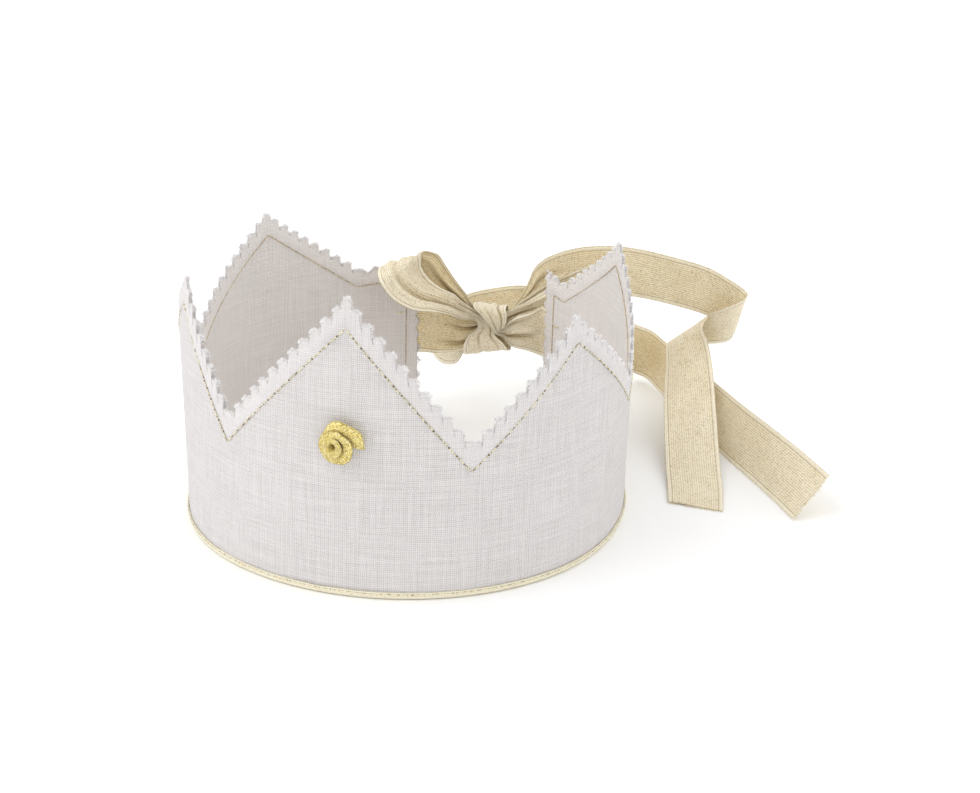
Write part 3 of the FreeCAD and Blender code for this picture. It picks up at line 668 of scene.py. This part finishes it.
LEFT_RIBBON_TURN = [
    (-10.8, 3.6, -16.0, -0.03, 0.03, 1, 0.54),
    (-14.6, 7.4, -22.2, -0.02, 0.05, 1, 0.82),
    (-20.0, 12.0, -24.8, 0.0, 0.04, 1, 0.92),
    (-24.8, 16.6, -24.6, 0.02, 0.02, 1, 0.98),
    (-27.0, 20.8, -23.4, -0.02, 0.02, 1, 1.0),
    (-23.4, 25.0, -24.8, -0.12, 0.03, 1, 1.0),
    (-16.0, 27.8, -24.6, -0.26, 0.03, 1, 1.0),
    (-8.5, 29.4, -19.6, -0.36, 0, 0.93, 1.0),
    (-0.3, 28.6, -16.5, -0.15, 0, 0.99, 1.0),
    (10.2, 28.8, -15.0, -0.06, 0.02, 1, 1.0),
    (27.5, 37.0, -20.5, -0.08, 0.10, 0.99, 1.0),
    (40.4, 48.6, -29.0, -0.09, 0.20, 0.97, 1.0),
]
LEFT_RIBBON_TAIL = [
    (47.6, 62.0, 0.17, -0.08, 0.30, 0.95, 1.0),
    (54.5, 61.6, 0.05, -0.02, 0.42, 0.90, 1.0),
    (61.0, 51.0, 0.0, 0.05, 0.48, 0.87, 1.0),
    (67.5, 38.6, 0.0, 0.10, 0.48, 0.87, 1.0),
    (75.8, 23.2, 0.0, 0.16, 0.46, 0.87, 1.0),
    (84.5, 7.0, 0.0, 0.24, 0.44, 0.86, 1.0),
    (93.6, -9.8, 0.0, 0.32, 0.42, 0.84, 1.0),
    (102.2, -24.0, 0.0, 0.40, 0.40, 0.82, 1.0),
    (109.0, -35.2, 0.0, 0.45, 0.38, 0.81, 1.0),
    (116.6, -48.2, 0.0, 0.49, 0.36, 0.79, 1.0),
    (123.8, -61.4, 0.0, 0.54, 0.35, 0.77, 1.0),
]
RIGHT_BASE_TO_KNOT = [
    (14.6, 2.4, -12.4, 0, 0, 1, 0.78),
    (10.6, -0.3, -10.8, 0, 0, 1, 0.65),
    (7.8, -2.0, -8.9, 0, 0, 1, 0.46),
    (6.2, -4.0, -5.8, 0.1, 0, 1, 0.22),
]
KNOT_WRAP = [
    (3.6, -6.2, -3.6, 0.76, 0, 0.65, 0.16),
    (0.9, -6.6, -0.1, 1, 0.06, 0, 0.32),
    (-2.3, -6.2, 3.2, 1, 0.06, 0.04, 0.50),
    (-5.5, -4.6, 5.4, 1, 0.03, 0.02, 0.62),
    (-6.3, -1.4, 5.8, 1, 0, 0, 0.64),
    (-6.6, 2.2, 5.2, 1, 0, 0, 0.64),
    (-6.9, 5.6, 3.2, 1, 0, 0, 0.64),
    (-7.2, 7.0, -1.4, 1, 0, 0, 0.64),
    (-7.6, 6.8, -7.0, 1, 0, 0.05, 0.74),
    (-8.2, 4.2, -12.6, 1, 0, 0.12, 0.80),
    (-8.6, 0.6, -15.0, 1, 0, 0.2, 0.86),
    (-9.3, -3.0, -13.8, 0.98, 0, 0.19, 0.88),
    (-9.2, -4.6, -10.5, 0.98, -0.02, 0.18, 0.80),
    (-7.3, -4.9, -6.3, 0.99, 0, 0.12, 0.54),
    (-4.1, -4.4, -3.0, 0.99, 0.03, 0.08, 0.34),
    (-4.1, -4.2, -0.5, 0.87, 0.10, 0.47, 0.26),
]
LEFT_LOOP = [
    (-5.8, -5.0, 0.4, 0.11, 0.26, 0.95, 0.21),
    (-9.9, -7.6, 1.3, -0.10, 0.42, 0.90, 0.36),
    (-12.9, -12.2, 4.2, -0.09, 0.75, 0.62, 0.47),
    (-17.9, -17.6, 6.9, -0.02, 0.88, 0.47, 0.60),
    (-25.7, -21.0, 8.1, 0.24, 0.79, 0.57, 0.74),
    (-33.2, -22.0, 12.0, 0.50, 0.66, 0.56, 0.84),
    (-38.2, -21.0, 17.6, 0.75, 0.52, 0.42, 0.90),
    (-40.1, -17.0, 20.5, 0.87, 0.31, 0.38, 0.90),
    (-39.2, -13.0, 21.3, 0.92, 0.15, 0.37, 0.88),
    (-35.8, -9.5, 19.0, 0.88, 0.06, 0.47, 0.84),
    (-32.0, -7.5, 16.0, 0.81, 0.07, 0.59, 0.80),
    (-26.5, -5.6, 10.2, 0.66, 0.07, 0.75, 0.73),
    (-20.2, -3.5, 5.6, 0.56, 0.08, 0.83, 0.59),
    (-14.7, -0.2, 2.0, 0.43, 0.11, 0.90, 0.45),
    (-12.2, 1.2, 0.0, 0.36, 0.08, 0.92, 0.40),
    (-9.4, 2.6, -2.4, 0.25, 0.03, 0.95, 0.33),
    (-5.4, 3.4, -4.0, 0.1, 0, 1, 0.30),
    (-1.0, 3.4, -4.0, 0, 0, 1, 0.31),
    (3.0, 3.6, -3.8, 0, 0, 1, 0.31),
]
RIGHT_RIBBON_ARC = [
    (7.4, 4.8, -3.0, -0.05, 0, 1, 0.31),
    (9.6, 10.6, -1.6, -0.10, 0, 1, 0.34),
    (11.9, 17.2, -1.2, -0.15, 0, 1, 0.48),
    (14.4, 21.0, -1.9, -0.25, 0.04, 0.97, 0.66),
    (16.9, 24.0, -0.8, -0.27, 0.04, 0.95, 0.80),
    (20.5, 27.4, 0.4, -0.16, 0, 0.99, 0.92),
    (28.9, 30.0, 2.0, -0.08, 0, 1, 1.0),
    (39.9, 32.4, 3.5, -0.02, -0.03, 1, 1.0),
    (52.1, 35.6, 2.6, -0.01, -0.08, 1, 1.0),
    (65.0, 38.4, 0.0, 0.03, -0.12, 0.99, 1.0),
    (78.2, 39.6, -3.2, 0.0, -0.10, 0.99, 1.0),
    (85.4, 40.2, -7.5, 0.10, -0.10, 0.99, 1.0),
    (88.8, 39.6, -10.2, 0.20, -0.10, 0.97, 1.0),
    (89.9, 36.8, -11.0, 0.26, -0.14, 0.96, 1.0),
    (88.0, 34.6, -11.9, 0.27, -0.22, 0.94, 1.0),
    (84.0, 34.6, -13.0, 0.28, -0.32, 0.91, 1.0),
    (77.5, 37.0, -14.4, 0.36, -0.42, 0.84, 1.0),
    (69.6, 41.4, -15.8, 0.50, -0.50, 0.70, 1.16),
    (65.6, 42.4, -16.6, 0.58, -0.54, 0.60, 1.26),
    (64.2, 40.0, -17.4, 0.62, -0.52, 0.60, 1.22),
    (64.6, 35.0, -19.2, 0.65, -0.42, 0.63, 1.12),
]
RIGHT_RIBBON_TAIL = [
    (65.8, 27.4, 1.00, 0.72, -0.10, 0.62, 1.02),
    (66.8, 17.0, 0.84, 0.84, 0.30, 0.42, 1.0),
    (68.2, 6.0, 0.66, 0.92, 0.28, 0.24, 1.0),
    (70.2, -6.4, 0.46, 0.96, 0.22, 0.12, 1.0),
    (72.4, -19.0, 0.27, 0.97, 0.18, 0.07, 1.0),
    (74.8, -32.6, 0.12, 0.98, 0.12, 0.03, 1.0),
    (77.4, -46.6, 0.03, 0.99, 0.02, 0.01, 1.0),
    (79.2, -58.4, 0.0, 0.99, -0.12, 0.0, 1.0),
]


def base_rows(end, inward, height, gold):
    """Rows where the ribbon lies between the two cloths at one end of the wall."""
    rows = []
    for share in (1.0, 0.66, 0.33, 0.0, -0.2):
        foot = wall_point(end + inward * share * RIBBON_TUCK, height - RIBBON_WIDTH / 2, 0.0)
        rows.append([*foot, *(foot + np.array([0, 0, RIBBON_WIDTH])), 1.0, 1.0, gold])
    return rows


def from_knot(rows, table=False, pleats=1.0, gold=(0.3, 0.3)):
    """Rows of low edge, high edge, share of the width, depth of the pleats and gold tone, which is partly
    the ribbon's gold side and partly painted shade.
    """
    result = []
    gold_and_shade_steps = np.linspace(gold[0], gold[1], len(rows))
    for (x, y, z, ax, ay, az, share), tone in zip(rows, gold_and_shade_steps):
        height = z * RIBBON_WIDTH + 0.45 if table else KNOT[2] + z
        low = np.array([KNOT[0] + x, KNOT[1] + y, height])
        across = np.array([ax, ay, az], float)
        high = low + across / np.linalg.norm(across) * RIBBON_WIDTH * share
        result.append([*low, *high, min(share, 1.0), pleats, tone])
    return result


def smooth_rows(rows, steps):
    """Rows with smooth steps between the given ones."""
    rows = np.array(rows)
    result = []
    for i in range(len(rows) - 1):
        p, q, r, t = rows[max(i - 1, 0)], rows[i], rows[i + 1], rows[min(i + 2, len(rows) - 1)]
        for step in range(steps):
            s = step / steps
            result.append(0.5 * (2 * q + (r - p) * s + (2 * p - 5 * q + 4 * r - t) * s * s
                                 + (3 * q - p - 3 * r + t) * s ** 3))
    result.append(rows[-1])
    return np.array(result)


def ribbon(name, node, rows, seed, columns=41):
    """A ribbon through its rows, with lengthwise pleats and painted shade in the creases where it is
    gathered.
    """
    rng = random.Random(seed)
    line = smooth_rows(rows, 9)
    low, high, share = line[:, :3], line[:, 3:6], np.clip(line[:, 6], 0.25, 1.0)
    middle = (low + high) / 2
    travel = np.gradient(middle, axis=0)
    across = high - low
    face = np.cross(travel, across)
    face /= np.linalg.norm(face, axis=1)[:, None]
    arc = np.concatenate([[0], np.cumsum(np.linalg.norm(np.diff(middle, axis=0), axis=1))])
    w = np.linspace(0, 1, columns)
    phases = [rng.uniform(0, 6.3) for k in range(4)]
    points = low[:, None] * (1 - w)[None, :, None] + high[:, None] * w[None, :, None]
    gather = (1 - share)[:, None]
    wander = 0.35 * np.sin(arc / 21 + phases[0])[:, None]
    pleat = np.sin(2 * math.pi * 2.6 * w[None] + phases[1] + wander)
    pleat = pleat + 0.6 * np.sin(2 * math.pi * 4.3 * w[None] + phases[2] + arc[:, None] / 9)
    fade = np.sin(math.pi * np.clip(w, 0.02, 0.98))[None] ** 0.4
    depth = 4.6 * (line[:, 7] * share ** 2)[:, None] * gather * pleat * fade
    soft = 0.18 * np.sin(arc[:, None] / 13 + 5 * w[None] + phases[3])
    points = points + face[:, None] * (depth + soft * share[:, None])[:, :, None]
    # painted shade along the valleys of the pleats, stronger where the ribbon is gathered
    crease_shade = 0.85 * np.clip(gather * 2.4, 0, 1) * np.ones_like(w)[None]
    # gold tone per row: partly the ribbon's gold side, partly painted warm shade where a stretch lies in
    # shade
    gold = np.broadcast_to(line[:, 8:9], points.shape[:2])
    shade = np.zeros((2,) + points.shape)
    shade[0, :, :, 0] = np.clip(gold, 0, 1)
    shade[0, :, :, 1] = crease_shade * np.clip((-pleat * fade - 0.62) / 0.55, 0, 1)
    shade[1, :, :, 1] = crease_shade * np.clip((pleat * fade - 0.62) / 0.55, 0, 1)
    half = face[:, None] * RIBBON_THICKNESS / 2
    cloth = np.stack([
        np.broadcast_to(arc[:, None], points.shape[:2]),
        np.broadcast_to((w[None] - 0.5) * RIBBON_WIDTH, points.shape[:2]),
        np.full(points.shape[:2], seed * 50.0),
    ], axis=-1)
    item = thick_sheet(name, points + half, points - half, cloth)
    layer = item.data.attributes.new("shade", "FLOAT_VECTOR", "POINT")
    layer.data.foreach_set("vector", shade.astype(np.float32).ravel())
    dress(item, RIBBON, node)
    fray = ([], [])
    for k in range(60):
        column = rng.uniform(0, columns - 1.01)
        first = int(column)
        start = points[-1, first] + (points[-1, first + 1] - points[-1, first]) * (column - first)
        travel_end = points[-1, first] - points[-3, first]
        travel_end /= np.linalg.norm(travel_end)
        aside = points[-1, first + 1] - points[-1, first]
        aside = aside / np.linalg.norm(aside) * rng.uniform(-0.4, 0.4)
        reach = rng.uniform(0.4, 1.7)
        rise = np.array([0, 0, rng.uniform(0.0, 0.25)])
        middle = start + (travel_end + aside * 0.4 + rise) * reach * 0.5
        add_tube([start - travel_end * 0.4, middle, start + (travel_end + aside) * reach], 0.07, fray, 4)
    dress(new_mesh(name + "_cut_end", *fray), RIBBON_FRAY)


# the gold values of each stretch also paint warm shade where the ribbon lies in shade, such as inside the
# left loop and on the left base
left_rows = base_rows(LEFT_END, 1, LEFT_RIBBON_HEIGHT, 0.9)
left_rows += from_knot(LEFT_BASE_TO_KNOT, pleats=2.2, gold=(0.9, 0.7))
left_rows += from_knot(RIGHT_LOOP, gold=(0.1, 0.2)) + from_knot(LEFT_RIBBON_TURN, gold=(0.2, 0.7))
left_rows += from_knot(LEFT_RIBBON_TAIL, True, gold=(0.8, 0.05))
right_rows = base_rows(RIGHT_END, -1, RIGHT_RIBBON_HEIGHT, 0.1)
right_rows += from_knot(RIGHT_BASE_TO_KNOT, pleats=1.4, gold=(0.1, 0.1))
right_rows += from_knot(KNOT_WRAP, pleats=0.45, gold=(0.1, 0.3))
right_rows += from_knot(LEFT_LOOP, pleats=1.5, gold=(0.9, 1.0))
right_rows += from_knot(RIGHT_RIBBON_ARC, gold=(0.7, 0.0))
right_rows += from_knot(RIGHT_RIBBON_TAIL, True, gold=(0.1, 0.0))
ribbon("left_tie_ribbon", "ribbon_left", left_rows, 31)
ribbon("right_tie_ribbon", "ribbon_right", right_rows, 32)

# Rose


def rose():
    """A ribbon rolled from the middle outward, its lips turned out as petals."""
    seat = wall_point(ROSE_PLACE, ROSE_HEIGHT, LINEN_FACE + 0.1)
    outward = wall_point(ROSE_PLACE, ROSE_HEIGHT, 1.0) - wall_point(ROSE_PLACE, ROSE_HEIGHT, 0.0)
    sideways = np.cross([0, 0, 1], outward)
    upward = np.array([0, 0, 1.0])
    turns, count = 2.66, 300
    rng = random.Random(5)
    wave = [rng.uniform(0, 6.3) for k in range(3)]
    stops = [0.0, 0.09, 0.19, 0.28, 0.38, 0.47, 0.56, 0.61, 0.66, 0.75, 0.85, 0.94, 0.97, 1.0]
    feet = [0.35, 0.5, 0.7, 0.85, 1.05, 1.25, 1.5, 1.6, 1.7, 1.95, 2.3, 3.0, 3.6, 4.6]
    lips = [1.0, 1.9, 2.7, 3.4, 3.3, 4.3, 4.5, 5.2, 5.9, 5.0, 5.8, 7.4, 9.2, 9.2]
    rises = [4.4, 5.0, 5.6, 5.8, 5.4, 5.0, 4.6, 4.5, 4.4, 4.2, 3.8, 3.3, 2.9, 2.3]
    w = np.linspace(0, 1, 15)
    turn_out = w ** 2.2
    rise_up = np.sin(np.pi / 2 * np.minimum(1, w * 1.2)) - 0.16 * w ** 5
    points = []
    for i in range(count + 1):
        share = i / count
        angle = math.radians(-4) + (1 - share) * turns * 2 * math.pi
        foot, lip, rise = [np.interp(share, stops, row) for row in (feet, lips, rises)]
        ruffle = 0.35 * share * (math.sin(angle * 2.7 + wave[0]) + 0.5 * math.sin(angle * 5.3 + wave[1]))
        ray = sideways * math.cos(angle) + upward * math.sin(angle) * 1.14
        middle = seat + sideways * 1.4 * min(1.0, share * 1.6)
        radius = foot + (lip + ruffle - foot) * turn_out
        level = rise * rise_up + 0.3 * math.sin(angle * 3.1 + wave[2]) * share * w ** 2
        points.append(middle + ray * radius[:, None] + outward * level[:, None])
    points = np.array(points)
    face = np.cross(np.gradient(points, axis=0), np.gradient(points, axis=1))
    face /= np.linalg.norm(face, axis=2)[:, :, None]
    arc = np.concatenate([[0], np.cumsum(np.linalg.norm(np.diff(points[:, 8], axis=0), axis=1))])
    cloth = np.stack([
        np.broadcast_to(arc[:, None], points.shape[:2]),
        np.broadcast_to((w[None] - 0.5) * 7, points.shape[:2]),
        np.full(points.shape[:2], 900.0),
    ], axis=-1)
    item = thick_sheet("rolled_rose", points + face * 0.25, points - face * 0.25, cloth)
    dress(item, ROSE, "ribbon_rose")


rose()
for node in ("rose_tack_thread", "left_tack_thread", "right_tack_thread"):
    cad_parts[node].data.materials.clear()
    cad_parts[node].data.materials.append(THREAD)

# Floor, light and camera

FLOOR_REACH = 30.0
FLOOR_LEVEL = -0.0001
floor_mesh = bpy.data.meshes.new("table")
floor_corners = []
for x, y in ((-1, -1), (1, -1), (1, 1), (-1, 1)):
    floor_corners.append((x * FLOOR_REACH, y * FLOOR_REACH, FLOOR_LEVEL))
floor_mesh.from_pydata(floor_corners, [], [(0, 1, 2, 3)])
floor = bpy.data.objects.new("table", floor_mesh)
bpy.context.scene.collection.objects.link(floor)
floor_mesh.materials.append(plain_material("white_table", (0.97, 0.97, 0.97, 1), 0.9))

world = bpy.data.worlds.new("studio")
bpy.context.scene.world = world
world.use_nodes = True
world.node_tree.nodes["Background"].inputs["Color"].default_value = (1.0, 1.0, 1.0, 1)
world.node_tree.nodes["Background"].inputs["Strength"].default_value = 0.95


def area_light(name, place, target, size, power):
    data = bpy.data.lights.new(name, "AREA")
    data.size = size
    data.energy = power
    item = bpy.data.objects.new(name, data)
    item.location = place
    item.rotation_euler = (Vector(target) - Vector(place)).to_track_quat("-Z", "Y").to_euler()
    bpy.context.scene.collection.objects.link(item)


area_light("key", (-1.0, -0.5, 1.2), (0, 0, 0.03), 1.3, 8.0)
area_light("fill", (1.0, 0.6, 1.1), (0.03, 0.03, 0.03), 1.5, 4.0)

AZIMUTH, ELEVATION, ROLL = math.radians(11.6784), math.radians(21.0406), math.radians(1.7283)
DISTANCE = 0.699
TARGET = Vector((0.0276097, 0.0039789, 0.040))
IMAGE_WIDTH = 980
FOCAL_PIXELS = 2003.509
SENSOR = 36.0

back = Vector((
    math.sin(AZIMUTH) * math.cos(ELEVATION), -math.cos(AZIMUTH) * math.cos(ELEVATION), math.sin(ELEVATION)))
right = Vector((math.cos(AZIMUTH), math.sin(AZIMUTH), 0))
up = back.cross(right)
rolled_right = right * math.cos(ROLL) + up * math.sin(ROLL)
rolled_up = up * math.cos(ROLL) - right * math.sin(ROLL)
camera_data = bpy.data.cameras.new("camera")
camera_data.sensor_width = SENSOR
camera_data.lens = FOCAL_PIXELS / IMAGE_WIDTH * SENSOR
camera_data.clip_start = 0.01
camera_data.clip_end = 100
camera = bpy.data.objects.new("camera", camera_data)
bpy.context.scene.collection.objects.link(camera)
turn = Matrix((rolled_right, rolled_up, back)).transposed().to_4x4()
camera.matrix_world = Matrix.Translation(TARGET + back * DISTANCE) @ turn
bpy.context.scene.camera = camera
bpy.context.scene.view_settings.view_transform = "Standard"
